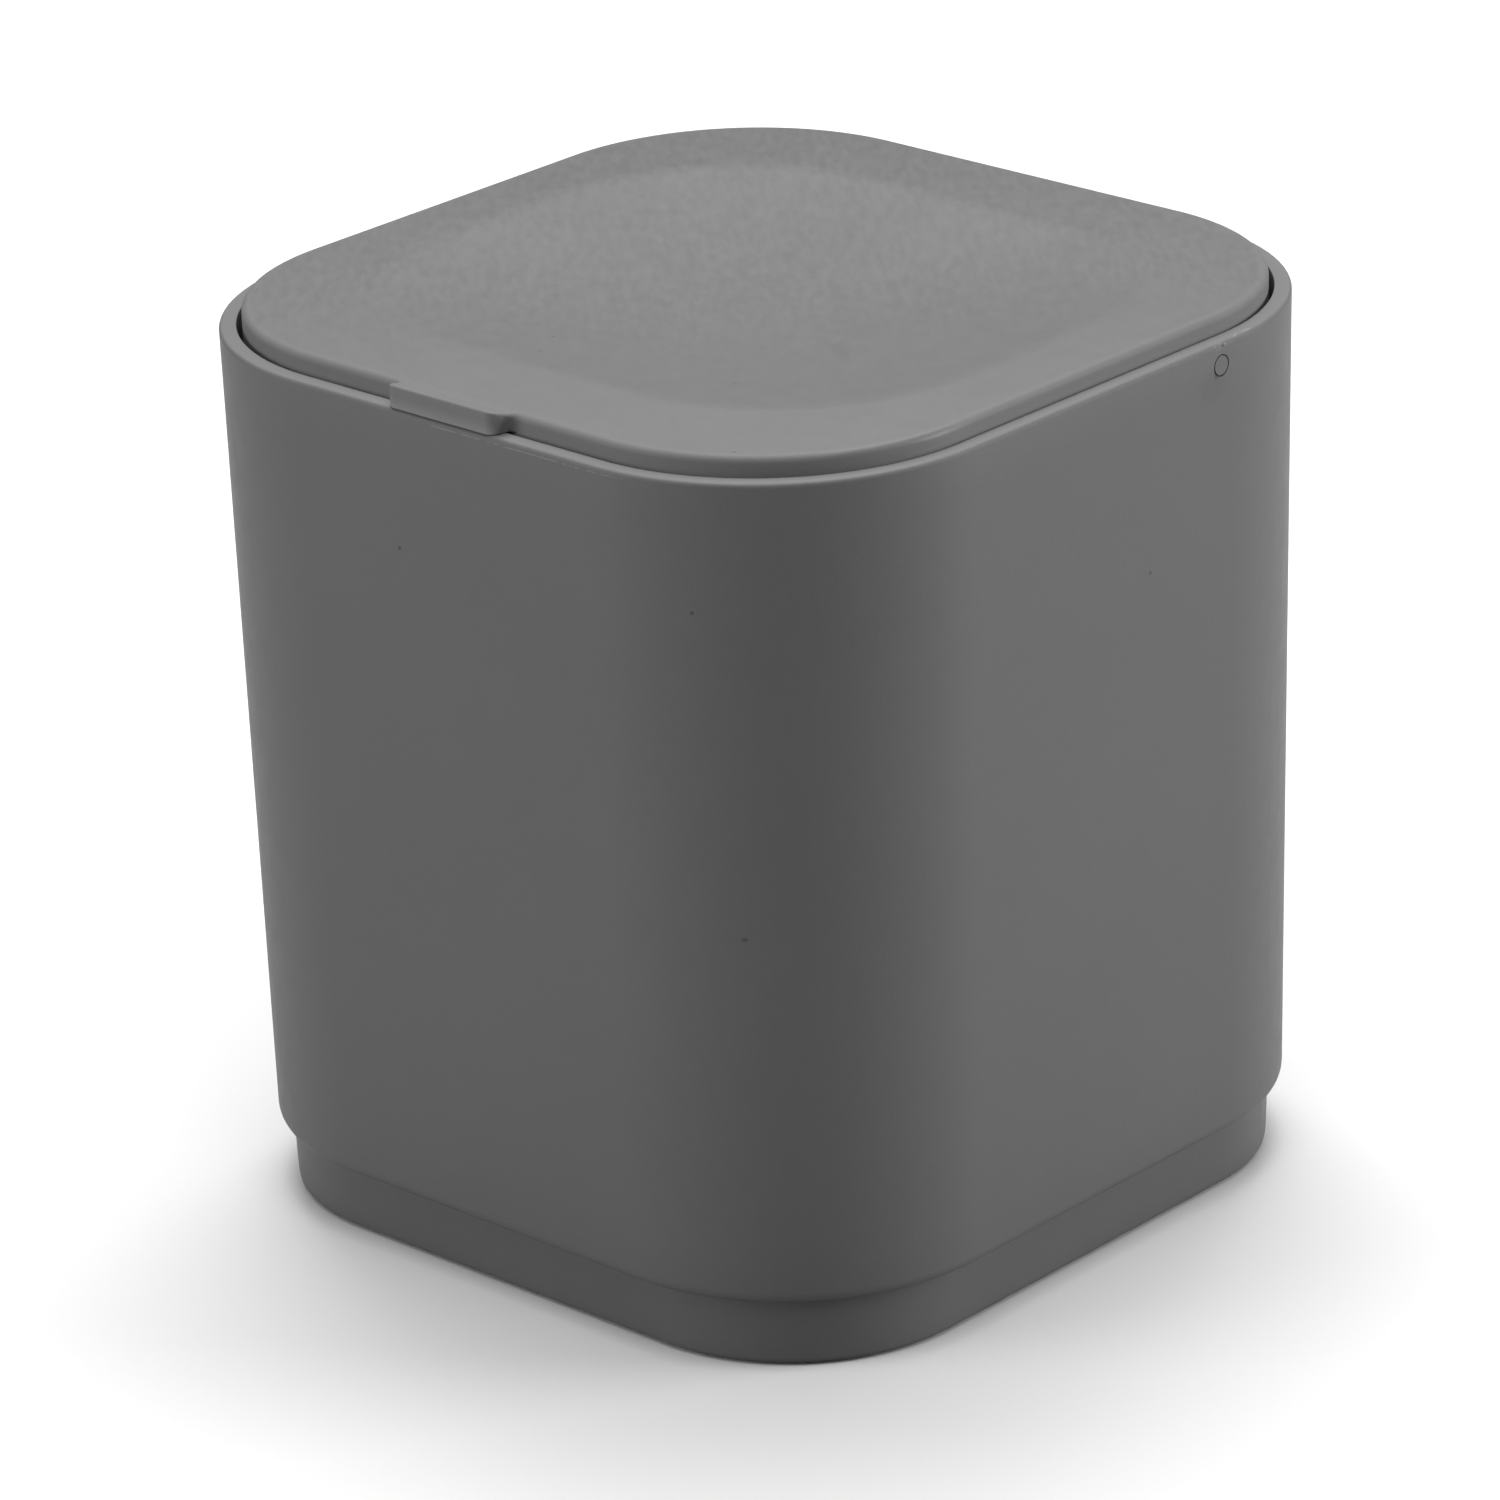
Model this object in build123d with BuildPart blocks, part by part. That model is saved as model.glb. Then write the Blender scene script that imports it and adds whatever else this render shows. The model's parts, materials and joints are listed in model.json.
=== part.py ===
from build123d import *
import os
from math import cos, radians, sin, tan

# A square bin with large round corners and a dished lid that turns on two pins near the back.
# Millimetres, +Z up, the lift tab faces -Y, and the origin is the centre of the base on the table.

# Body shell: a drafted bucket, widest at the rim
body_width = 150.0
body_depth = 150.0
body_corner = 42.0
rim_height = 155.0
body_draft = 0.92
body_wall = 2.9
body_floor = 3.0
rim_round = 0.8
rim_lead_in = 0.15
lower_round = 2.3
cavity_round = 4.0

# Base plinth: a pan under the body, set in from the body's lower edge, a little less at the corners
step_height = 12.4
step_inset = 3.4
plinth_corner_cut = 2.4
plinth_draft = 2.0
plinth_wall = 2.2
plinth_floor = 2.8
plinth_round = 1.2

# The rib ring under the body that centres the plinth
spigot_wall = 2.0
spigot_depth = 2.5
spigot_clearance = 0.15

# Anti-slip feet, in recesses of the plinth
foot_radius = 7.0
foot_thickness = 1.8
foot_proud = 0.4
foot_round = 0.2
foot_setback = 22.0

# Lid: a plate with a turned-down skirt, standing a little above the rim
lid_above_rim = 3.1
lid_side_gap = 0.5
lid_end_gap = 0.9
lid_corner = 39.0
lid_plate = 2.2
lid_skirt = 12.5
lid_skirt_wall = 2.0
lid_round = 1.2

# The shallow dish in the lid
dish_side_border = 12.4
dish_end_border = 17.2
dish_corner = 38.0
dish_depth = 4.0
dish_steps = ((1.0, 0.0), (0.85, 0.19), (0.65, 0.53), (0.4, 0.82), (0.15, 1.0))

# Lift tab: rests on the rim, its face flush with the front wall and its lip a little above the lid
tab_width = 24.0
tab_nose_radius = 2.0
tab_side_flat = 0.2
tab_level = 0.4
tab_rise = 0.9
lip_round = 0.4
rest_gap = 0.25

# Hinge: pins pressed into the side walls, turning in blind bores of the lid
pivot_setback = 29.3
pivot_below_rim = 4.0
pin_radius = 1.75
pin_engagement = 7.0
pin_tip_gap = 0.5
pin_chamfer = 0.2
bore_clearance = 0.05
hinge_side_gap = 0.25
collar_wall = 0.9
boss_radius = 5.2

# Stop ribs inside the body: the lid's skirt leans on them when it is fully open
open_angle = 95.0
stop_below_pivot = 14.0
stop_gap = 0.9
stop_rib_width = 3.0
stop_rib_overlap = 3.8


def rimInset(height):
    # How far the drafted wall has closed in at this height
    return (rim_height - height) * tan(radians(body_draft))


floor_height = step_height + body_floor
cavity_width = body_width - 2 * body_wall
cavity_depth = body_depth - 2 * body_wall
cavity_corner = body_corner - body_wall

lower_inset = rimInset(step_height)
plinth_width = body_width - 2 * (lower_inset + step_inset)
plinth_depth = body_depth - 2 * (lower_inset + step_inset)
plinth_corner = body_corner - lower_inset - step_inset - plinth_corner_cut
plinth_height = step_height - foot_proud
pan_width = plinth_width - 2 * plinth_wall
pan_depth = plinth_depth - 2 * plinth_wall
pan_corner = plinth_corner - plinth_wall

foot_spacing_x = plinth_width - 2 * foot_setback
foot_spacing_y = plinth_depth - 2 * foot_setback

lid_height = rim_height + lid_above_rim
lid_width = cavity_width - 2 * lid_side_gap
lid_depth = cavity_depth - 2 * lid_end_gap
skirt_height = lid_height - lid_skirt
dish_width = lid_width - 2 * dish_side_border
dish_length = lid_depth - 2 * dish_end_border
tab_reach = (body_depth - lid_depth) / 2
tab_root_radius = tab_reach - tab_nose_radius - tab_side_flat

pivot_height = rim_height - pivot_below_rim
pivot_inset = rimInset(pivot_height)
wall_outside = body_width / 2 - pivot_inset
wall_inside = wall_outside - body_wall
boss_inside = lid_width / 2 - pin_engagement - pin_tip_gap - collar_wall

# Body shell
with BuildPart() as body_shell:
    with BuildSketch(Plane.XY.offset(rim_height)):
        RectangleRounded(body_width, body_depth, body_corner)
    extrude(amount=-(rim_height - step_height), taper=body_draft)
    fillet(body_shell.faces().sort_by(Axis.Z)[0].edges(), lower_round)

    with BuildSketch(Plane.XY.offset(rim_height)):
        RectangleRounded(cavity_width, cavity_depth, cavity_corner)
    extrude(amount=-(rim_height - floor_height), taper=body_draft, mode=Mode.SUBTRACT)
    cavity_floor = body_shell.faces().filter_by(Plane.XY).sort_by(Axis.Z)[1]
    fillet(cavity_floor.outer_wire().edges(), cavity_round)

    rim_face = body_shell.faces().sort_by(Axis.Z)[-1]
    fillet(rim_face.outer_wire().edges(), rim_round)
    rim_face = body_shell.faces().sort_by(Axis.Z)[-1]
    chamfer(rim_face.inner_wires()[0].edges(), rim_lead_in)

    # The ring that the plinth is centred on
    with BuildSketch(Plane.XY.offset(step_height)):
        RectangleRounded(pan_width - 2 * spigot_clearance, pan_depth - 2 * spigot_clearance,
                         pan_corner - spigot_clearance)
        offset(amount=-spigot_wall, mode=Mode.SUBTRACT)
    extrude(amount=-spigot_depth)

    # Stop ribs: their rear faces lie just ahead of the skirt's lower edge when the lid is open
    skirt_drop = pivot_height - skirt_height
    opened = radians(open_angle)
    skirt_run = (stop_below_pivot - skirt_drop * cos(opened)) / sin(opened)
    stop_face = pivot_setback + skirt_run * cos(opened) - skirt_drop * sin(opened) - stop_gap
    stop_rib_foot = floor_height - body_floor / 2
    stop_rib_top = pivot_height - stop_below_pivot
    stop_rib_inside = lid_width / 2 - stop_rib_overlap
    wall_middle = (body_width - body_wall) / 2
    with BuildSketch(Plane.XZ.offset(-stop_face)):
        with BuildLine():
            Polyline((stop_rib_inside, stop_rib_foot), (wall_middle - rimInset(stop_rib_foot), stop_rib_foot),
                     (wall_middle - rimInset(stop_rib_top), stop_rib_top), (stop_rib_inside, stop_rib_top),
                     close=True)
        make_face()
        mirror(about=Plane.YZ)
    extrude(amount=stop_rib_width)

    # Holes for the hinge pins, through both side walls
    with BuildSketch(Plane.YZ):
        with Locations((pivot_setback, pivot_height)):
            Circle(pin_radius)
    extrude(amount=body_width, both=True, mode=Mode.SUBTRACT)

body_shell.part.label = "body_shell"

# Base plinth
with BuildPart() as base_plinth:
    with BuildSketch(Plane.XY.offset(step_height)):
        RectangleRounded(plinth_width, plinth_depth, plinth_corner)
    extrude(amount=-plinth_height, taper=plinth_draft)
    fillet(base_plinth.faces().sort_by(Axis.Z)[0].edges(), plinth_round)

    with BuildSketch(Plane.XY.offset(step_height)):
        RectangleRounded(pan_width, pan_depth, pan_corner)
    extrude(amount=-(plinth_height - plinth_floor), taper=plinth_draft, mode=Mode.SUBTRACT)

    with BuildSketch(Plane.XY.offset(foot_proud)):
        with GridLocations(foot_spacing_x, foot_spacing_y, 2, 2):
            Circle(foot_radius)
    extrude(amount=foot_thickness - foot_proud, mode=Mode.SUBTRACT)

base_plinth.part.label = "base_plinth"

# Lid
with BuildPart() as lid:
    with BuildSketch(Plane.XY.offset(skirt_height)):
        RectangleRounded(lid_width, lid_depth, lid_corner)
    extrude(amount=lid_skirt)
    fillet(lid.faces().sort_by(Axis.Z)[-1].edges(), lid_round)

    # Lift tab, with round outer corners and hollow roots
    with BuildSketch(Plane.XY.offset(rim_height + rest_gap)) as tab_outline:
        with Locations((0, -lid_depth / 2)):
            Rectangle(tab_width, tab_reach, align=(Align.CENTER, Align.MAX))
            Rectangle(tab_width + 4 * tab_root_radius, lid_skirt_wall, align=(Align.CENTER, Align.MIN))
        fillet(tab_outline.vertices().group_by(Axis.Y)[0], tab_nose_radius)
        roots = tab_outline.vertices().filter_by_position(Axis.Y, -lid_depth / 2, -lid_depth / 2)
        fillet(roots.filter_by_position(Axis.X, -tab_width / 2, tab_width / 2), tab_root_radius)
    extrude(amount=lid_above_rim - rest_gap + tab_rise)

    # The tab's top climbs from the lid's plane to its rounded front lip
    slope_start = -lid_depth / 2 - tab_level
    slope_inside = slope_start + tab_reach
    lip_height = lid_height + tab_rise
    lip_front = -body_depth / 2
    with BuildSketch(Plane.YZ) as above_tab:
        with BuildLine():
            Polyline((slope_inside, lid_height), (slope_start, lid_height), (lip_front, lip_height),
                     (lip_front, lip_height - 2 * lip_round), (lip_front - tab_reach, lip_height - 2 * lip_round),
                     (lip_front - tab_reach, lip_height + tab_rise), (slope_inside, lip_height + tab_rise),
                     close=True)
        make_face()
        lip_corner = above_tab.vertices().filter_by_position(Axis.X, lip_front, lip_front)
        fillet(lip_corner.sort_by(Axis.Y)[-1], lip_round)
    extrude(amount=body_width / 2, both=True, mode=Mode.SUBTRACT)

    with BuildSketch(Plane.XY.offset(skirt_height)):
        RectangleRounded(lid_width - 2 * lid_skirt_wall, lid_depth - 2 * lid_skirt_wall,
                         lid_corner - lid_skirt_wall)
    extrude(amount=lid_skirt - lid_plate, mode=Mode.SUBTRACT)

    # The dish, with the plate's own thickness kept below it: rounded squares that shrink as they go down
    for drop, dish_mode in ((lid_plate, Mode.ADD), (0, Mode.SUBTRACT)):
        for share, fall in dish_steps:
            with BuildSketch(Plane.XY.offset(lid_height - drop - fall * dish_depth)):
                RectangleRounded(share * dish_width, share * dish_length, share * dish_corner)
        loft(mode=dish_mode)

    # Hinge bosses inside the skirt, and collars that keep the lid clear of the side walls
    for side in (-1, 1):
        with BuildSketch(Plane.YZ.offset(side * boss_inside)):
            with Locations((pivot_setback, pivot_height)):
                Circle(boss_radius)
        extrude(amount=side * (lid_width / 2 - boss_inside - lid_skirt_wall / 2))
        with BuildSketch(Plane.YZ.offset(side * (lid_width / 2 - lid_skirt_wall / 2))):
            with Locations((pivot_setback, pivot_height)):
                Circle(pin_radius + collar_wall)
        extrude(amount=side * (wall_inside - hinge_side_gap - lid_width / 2 + lid_skirt_wall / 2))
        with BuildSketch(Plane.YZ.offset(side * wall_inside)):
            with Locations((pivot_setback, pivot_height)):
                Circle(pin_radius + bore_clearance)
        extrude(amount=-side * (wall_inside - lid_width / 2 + pin_engagement + pin_tip_gap), mode=Mode.SUBTRACT)

lid.part.label = "lid"


def hingePin(side):
    # A round pin, flush with the wall outside and chamfered at both ends
    with BuildPart() as pin:
        with BuildSketch(Plane.YZ.offset(side * (lid_width / 2 - pin_engagement))):
            with Locations((pivot_setback, pivot_height)):
                Circle(pin_radius)
        extrude(amount=side * (wall_outside - lid_width / 2 + pin_engagement))
        chamfer(pin.edges().filter_by(GeomType.CIRCLE), pin_chamfer)
    return pin.part


def foot(side, end):
    # A rubber disc with a softened lower edge
    with BuildPart() as disc:
        with BuildSketch():
            with Locations((side * foot_spacing_x / 2, end * foot_spacing_y / 2)):
                Circle(foot_radius)
        extrude(amount=foot_thickness)
        fillet(disc.edges().filter_by(GeomType.CIRCLE).sort_by(Axis.Z)[0], foot_round)
    return disc.part


hinge_pin_left = hingePin(-1)
hinge_pin_left.label = "hinge_pin_left"
hinge_pin_right = hingePin(1)
hinge_pin_right.label = "hinge_pin_right"

os.makedirs("parts", exist_ok=True)
export_step(body_shell.part, "parts/body_shell.step")
export_step(base_plinth.part, "parts/base_plinth.step")
export_step(lid.part, "parts/lid.step")
export_step(hinge_pin_left, "parts/hinge_pin_left.step")
export_step(hinge_pin_right, "parts/hinge_pin_right.step")

for end_name, end in (("front", -1), ("rear", 1)):
    for side_name, side in (("left", -1), ("right", 1)):
        one_foot = foot(side, end)
        one_foot.label = f"foot_{end_name}_{side_name}"
        export_step(one_foot, f"parts/{one_foot.label}.step")
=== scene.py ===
import json
import math

import bmesh
import bpy
import numpy as np
from mathutils import Matrix, Vector


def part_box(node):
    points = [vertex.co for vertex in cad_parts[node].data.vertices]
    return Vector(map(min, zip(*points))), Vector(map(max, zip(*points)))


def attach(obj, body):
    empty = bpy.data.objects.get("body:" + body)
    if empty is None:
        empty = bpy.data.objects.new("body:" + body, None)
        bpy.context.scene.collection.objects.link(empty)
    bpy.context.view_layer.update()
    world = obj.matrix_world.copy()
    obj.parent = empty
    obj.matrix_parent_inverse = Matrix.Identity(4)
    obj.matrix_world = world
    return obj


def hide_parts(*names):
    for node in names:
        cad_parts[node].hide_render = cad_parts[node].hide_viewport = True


# A tabletop waste bin: a drafted body on a stepped plinth, with a dished lid on two hinge pins.
# Shapes are worked out in millimetres and become metres where a mesh is made.

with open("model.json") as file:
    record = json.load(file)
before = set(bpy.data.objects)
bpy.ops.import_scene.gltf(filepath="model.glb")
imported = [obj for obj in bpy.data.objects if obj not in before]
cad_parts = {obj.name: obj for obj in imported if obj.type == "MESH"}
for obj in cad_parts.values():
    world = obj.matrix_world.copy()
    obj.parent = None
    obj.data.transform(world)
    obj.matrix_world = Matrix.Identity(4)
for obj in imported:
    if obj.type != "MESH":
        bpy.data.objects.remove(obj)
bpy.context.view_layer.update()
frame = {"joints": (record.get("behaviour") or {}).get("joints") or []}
mm = 0.001


def nodeBox(name):
    low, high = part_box(name)
    return np.array(low) / mm, np.array(high) / mm


bodyLow, bodyHigh = nodeBox("body_shell")
plinthLow, plinthHigh = nodeBox("base_plinth")
lidLow, lidHigh = nodeBox("lid")
hinge = frame["joints"][0]
pivotY = hinge["pos_m"][1] / mm
pivotZ = hinge["pos_m"][2] / mm
print("frame loaded: pivot at y %.1f, z %.1f mm" % (pivotY, pivotZ))


# Mesh building

def ringBase(frontAlong, perSide, perCorner):
    # A rounded rectangle is its corner centres plus a radius. Each point has its share of the way between
    # the centres (-1 to 1, in x and y) and the direction that the radius points in there.
    shares, directions = [], []
    for side in range(4):
        normal = math.radians(-90 + 90 * side)
        out = np.array([math.cos(normal), math.sin(normal)])
        along = np.array([-out[1], out[0]])
        steps = frontAlong if side == 0 else np.linspace(-1, 1, perSide, endpoint=False)
        shares.append(out + steps[:, None] * along)
        directions.append(np.repeat(out[None], len(steps), axis=0))
        turn = normal + np.linspace(0, math.pi / 2, perCorner, endpoint=False)
        shares.append(np.repeat((out + along)[None], perCorner, axis=0))
        directions.append(np.stack([np.cos(turn), np.sin(turn)], axis=1))
    return np.concatenate(shares), np.concatenate(directions)


def evenBase(perSide, perCorner):
    # The same even steps along all four sides
    return ringBase(np.linspace(-1, 1, perSide, endpoint=False), perSide, perCorner)


def ringStack(base, halfX, halfY, corner, height):
    # One ring for each entry: (half size - corner) * share + corner * direction, at its height
    shares, directions = base
    half = np.stack([halfX, halfY], axis=1)[:, None, :]
    radius = np.asarray(corner, float)[:, None, None]
    flat = (half - radius) * shares[None] + radius * directions[None]
    tall = np.repeat(np.asarray(height, float)[:, None, None], flat.shape[1], axis=1)
    return np.concatenate([flat, tall], axis=2)


def arc(centre, radius, start, end, count):
    # Points on a circle in the profile plane (inset, height), angles in degrees from the inward side
    turn = np.radians(np.linspace(start, end, count))
    return np.stack([centre[0] + radius * np.cos(turn), centre[1] + radius * np.sin(turn)], axis=1)


def gridFaces(rings, points):
    # Quads between each ring and the next; the points of a ring close on themselves
    start = np.arange(rings - 1)[:, None] * points
    here = start + np.arange(points)
    after = start + (np.arange(points) + 1) % points
    quads = np.stack([here, after, after + points, here + points], axis=2)
    return quads.reshape(-1, 4)


def poledSurface(stack):
    # A stack of rings with a middle point added at each end, as one closed surface
    rings, points, _ = stack.shape
    first = stack[0].mean(axis=0)
    last = stack[-1].mean(axis=0)
    vertices = np.concatenate([stack.reshape(-1, 3), first[None], last[None]])
    point = np.arange(points)
    after = (point + 1) % points
    top = np.full(points, rings * points)
    base = (rings - 1) * points
    bottom = top + 1
    fans = np.concatenate([np.stack([top, after, point], axis=1),
                           np.stack([bottom, base + point, base + after], axis=1)])
    return vertices, gridFaces(rings, points).tolist() + fans.tolist()


def drawnIn(ring, shares):
    # Copies of a ring drawn in towards its middle by these shares, at the ring's own height
    flat = np.array([1.0, 1.0, 0.0])
    return ring[None] * (1 + (np.array(shares)[:, None, None] - 1) * flat)


def revolved(profile, axisPoint, axis, around, count):
    # A profile of (distance along the axis, radius) carried round the axis; its ends close on the axis
    turn = np.linspace(0, 2 * math.pi, count, endpoint=False)
    spoke = (np.cos(turn)[:, None] * around[0] + np.sin(turn)[:, None] * around[1])
    stack = (axisPoint + profile[:, 0][:, None, None] * axis
             + profile[:, 1][:, None, None] * spoke[None])
    return poledSurface(stack)


def joined(parts):
    vertices, faces, shift = [], [], 0
    for partVertices, partFaces in parts:
        vertices.append(partVertices)
        faces.extend([[index + shift for index in face] for face in partFaces])
        shift += len(partVertices)
    return np.concatenate(vertices), faces


def meshObject(name, vertices, faces):
    # Millimetres in, metres out. The faces are made to point outwards.
    mesh = bpy.data.meshes.new(name)
    mesh.from_pydata((np.asarray(vertices) * mm).tolist(), [], faces)
    mesh.validate()
    work = bmesh.new()
    work.from_mesh(mesh)
    bmesh.ops.recalc_face_normals(work, faces=work.faces)
    work.to_mesh(mesh)
    work.free()
    piece = bpy.data.objects.new(name, mesh)
    bpy.context.scene.collection.objects.link(piece)
    return piece


def drilled(piece, cutters):
    # Takes the cutters out of the piece for good, so that no modifier stays on it
    tool = meshObject(piece.name + "_drill", *joined(cutters))
    cut = piece.modifiers.new("drill", "BOOLEAN")
    cut.operation = "DIFFERENCE"
    cut.solver = "EXACT"
    cut.object = tool
    bpy.context.view_layer.update()
    done = bpy.data.meshes.new_from_object(piece.evaluated_get(bpy.context.evaluated_depsgraph_get()))
    piece.modifiers.clear()
    piece.data = done
    bpy.data.objects.remove(tool)
    return piece


def addIslands(piece, parts):
    # Adds closed bodies to a piece that is already drilled
    extra = meshObject(piece.name + "_extra", *joined(parts))
    work = bmesh.new()
    work.from_mesh(piece.data)
    work.from_mesh(extra.data)
    work.to_mesh(piece.data)
    work.free()
    bpy.data.objects.remove(extra)
    return piece


sharpAngle = math.radians(32)  # edges sharper than this stay crisp under smooth shading


def finishPiece(piece, body, node, material):
    piece.data.shade_smooth()
    piece.data.set_sharp_from_angle(angle=sharpAngle)
    piece.data.materials.clear()
    piece.data.materials.append(material)
    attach(piece, body)
    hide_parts(node)
    print(piece.name, "has", sum(len(p.vertices) - 2 for p in piece.data.polygons), "triangles")


def pieceName(node):
    # A CAD node's name in camelCase
    first, *others = node.split("_")
    return first + "".join(word.title() for word in others)


# Shader building

class Wire:
    # A socket that can stand in a sum: every operator adds one Math node
    def __init__(self, finish, socket):
        self.finish = finish
        self.socket = socket

    def math(self, operation, *values):
        return self.finish.add("ShaderNodeMath", {"operation": operation}, dict(enumerate(values)))

    def __add__(self, other):
        return self.math("ADD", self, other)

    def __sub__(self, other):
        return self.math("SUBTRACT", self, other)

    def __rsub__(self, other):
        return self.math("SUBTRACT", other, self)

    def __mul__(self, other):
        return self.math("MULTIPLY", self, other)

    def __truediv__(self, other):
        return self.math("DIVIDE", self, other)

    def __abs__(self):
        return self.math("ABSOLUTE", self)

    __radd__ = __add__
    __rmul__ = __mul__

    def larger(self, other):
        return self.math("MAXIMUM", self, other)

    def smaller(self, other):
        return self.math("MINIMUM", self, other)

    def root(self):
        return self.math("SQRT", self)

    def rise(self, low, high):
        # 0 below low, 1 above high, smooth between
        return self.finish.add("ShaderNodeMapRange", {"interpolation_type": "SMOOTHSTEP"},
                               {"Value": self, "From Min": low, "From Max": high})


class Finish:
    # A material, and the one method that adds a node: its type, its settings, its values and its output
    def __init__(self, name):
        self.material = bpy.data.materials.new(name)
        self.material.use_nodes = True
        self.tree = self.material.node_tree
        self.tree.nodes.clear()
        self.place = self.add("ShaderNodeTexCoord", output="Object")
        self.x, self.y, self.z = self.parts(self.place)

    def add(self, kind, settings=None, values=None, output=0):
        node = self.tree.nodes.new(kind)
        for key, value in (settings or {}).items():
            setattr(node, key, value)
        for key, value in (values or {}).items():
            if isinstance(value, Wire):
                self.tree.links.new(value.socket, node.inputs[key])
            else:
                node.inputs[key].default_value = value
        return Wire(self, node.outputs[output]) if node.outputs else None

    def parts(self, vector):
        split = self.add("ShaderNodeSeparateXYZ", values={0: vector}).socket.node
        return [Wire(self, split.outputs[axis]) for axis in range(3)]

    def local(self, centre, reach, turn):
        # Coordinates from a centre, turned about the vertical, where 1 is the reach along each axis
        return self.add("ShaderNodeMapping", {"vector_type": "TEXTURE"}, {
            0: self.place, "Location": [value * mm for value in centre],
            "Rotation": (0, 0, math.radians(turn)), "Scale": [value * mm for value in reach]})

    def noise(self, size, detail=2.0, stretch=(1, 1, 1), turn=0.0):
        # Noise whose patches are about this many millimetres across, longer by the stretch along turned axes
        place = self.local((0, 0, 0), [size * value for value in stretch], turn)
        return self.add("ShaderNodeTexNoise", values={"Vector": place, "Scale": 1.0, "Detail": detail})

    def spot(self, centre, reach, turn=0.0, soft=0.5):
        # 1 in an ellipsoid, fading to 0 at its edge over the soft share of its reach
        offset = self.local(centre, reach, turn)
        distance = self.add("ShaderNodeVectorMath", {"operation": "LENGTH"}, {0: offset}, output="Value")
        return 1 - distance.rise(1 - soft, 1)

    def spots(self, marks):
        # Several such marks as one mask, each given as (centre, reach, turn, strength)
        mask = None
        for centre, reach, turn, strength in marks:
            one = self.spot(centre, reach, turn) * strength
            mask = one if mask is None else mask.larger(one)
        return mask

    def inset(self, halfX, halfY, corner):
        # Distance in from a rounded rectangle's outline: corner - |offset past the corner's centre|
        offX, offY = abs(self.x / mm) - (halfX - corner), abs(self.y / mm) - (halfY - corner)
        pastX, pastY = offX.larger(0.0), offY.larger(0.0)
        return corner - (pastX * pastX + pastY * pastY).root() - offX.larger(offY).smaller(0.0)

    def specks(self, spacing, size, share, full=0.6):
        # Small round spots in a share of the cells of a pattern, with spacing and size in millimetres.
        # A spot is at full strength out to the full share of its size.
        cell = {"Vector": self.place, "Scale": 1 / (spacing * mm)}
        distance = self.add("ShaderNodeTexVoronoi", values=cell, output="Distance")
        chance = self.parts(self.add("ShaderNodeTexVoronoi", values=cell, output="Color"))[0]
        reach = size / spacing
        return (1 - distance.rise(full * reach, reach)) * chance.rise(1 - share, 1 - share + 0.01)

    def mix(self, share, first, second):
        # The numbers are the Mix node's colour sockets
        return self.add("ShaderNodeMix", {"data_type": "RGBA"}, {0: share, 6: first, 7: second}, output=2)

    def close(self, colour, roughness, height, bumpDepth, specular):
        bump = self.add("ShaderNodeBump", values={
            "Height": height, "Distance": bumpDepth * mm, "Strength": 1.0})
        shade = self.add("ShaderNodeBsdfPrincipled", values={
            "Base Color": colour, "Roughness": roughness, "Normal": bump, "Specular IOR Level": specular})
        self.add("ShaderNodeOutputMaterial", values={"Surface": shade})
        return self.material


def grey(level):
    return (level, level, level, 1.0)


def mouldedPlastic(name, look, marks=None, paintedLight=None):
    # Satin moulded plastic: fine grain, slow mottling, rare dark and pale specks, and flow marks from the
    # filling. Noise counts as its distance from 0.5, its middle. The tones and any painted light added up
    # are the share of the way from half the plastic's own tone to one and a half times it.
    finish = Finish(name)
    grain = finish.noise(look["grainSize"], look["fineDetail"])
    mottle = finish.noise(look["mottleSize"], look["fineDetail"])
    cloud = finish.noise(look["cloudSize"])
    flow = finish.noise(look["flowSize"], stretch=look["flowStretch"], turn=look["flowTurn"])
    if look["flowEnds"]:
        turn = math.radians(look["flowTurn"])
        along = (finish.x * math.cos(turn) + finish.y * math.sin(turn)) / mm
        flow = (flow - 0.5) * (1 - along.rise(*look["flowEnds"]) * look["flowFade"]) + 0.5
    dark = finish.specks(look["speckSpacing"], look["speckSize"], look["speckShare"])
    pale = finish.specks(look["speckSpacing"] * look["paleScale"], look["speckSize"] * look["paleScale"],
                         look["speckShare"] * look["paleShare"])
    tone = (mottle - 0.5) * look["mottleTone"] + (cloud - 0.5) * look["cloudTone"]
    tone = tone + (grain - 0.5) * look["grainTone"] + (flow - 0.5) * look["flowTone"] + 0.5
    # Painted light: this optional term lightens or darkens the tone where light or shade would fall
    if paintedLight:
        tone = tone + paintedLight(finish)
    colour = finish.mix(tone, grey(look["tone"] * 0.5), grey(look["tone"] * 1.5))
    colour = finish.mix(dark * look["darkMix"], colour, grey(look["tone"] * look["darkTone"]))
    colour = finish.mix(pale * look["paleMix"], colour, grey(look["tone"] * look["paleTone"]))
    roughness = (look["roughness"] + (mottle - 0.5) * look["mottleRough"]
                 + (grain - 0.5) * look["grainRough"] + (flow - 0.5) * look["flowRough"])
    height = (grain * look["grainHeight"] + mottle * look["mottleHeight"] + flow * look["flowHeight"]
              - dark * look["darkDepth"] + pale * look["paleHeight"])
    if marks:
        colour, roughness, height = marks(finish, colour, roughness, height)
    return finish.close(colour, roughness, height, look["bumpDepth"], look["specular"])


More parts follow.
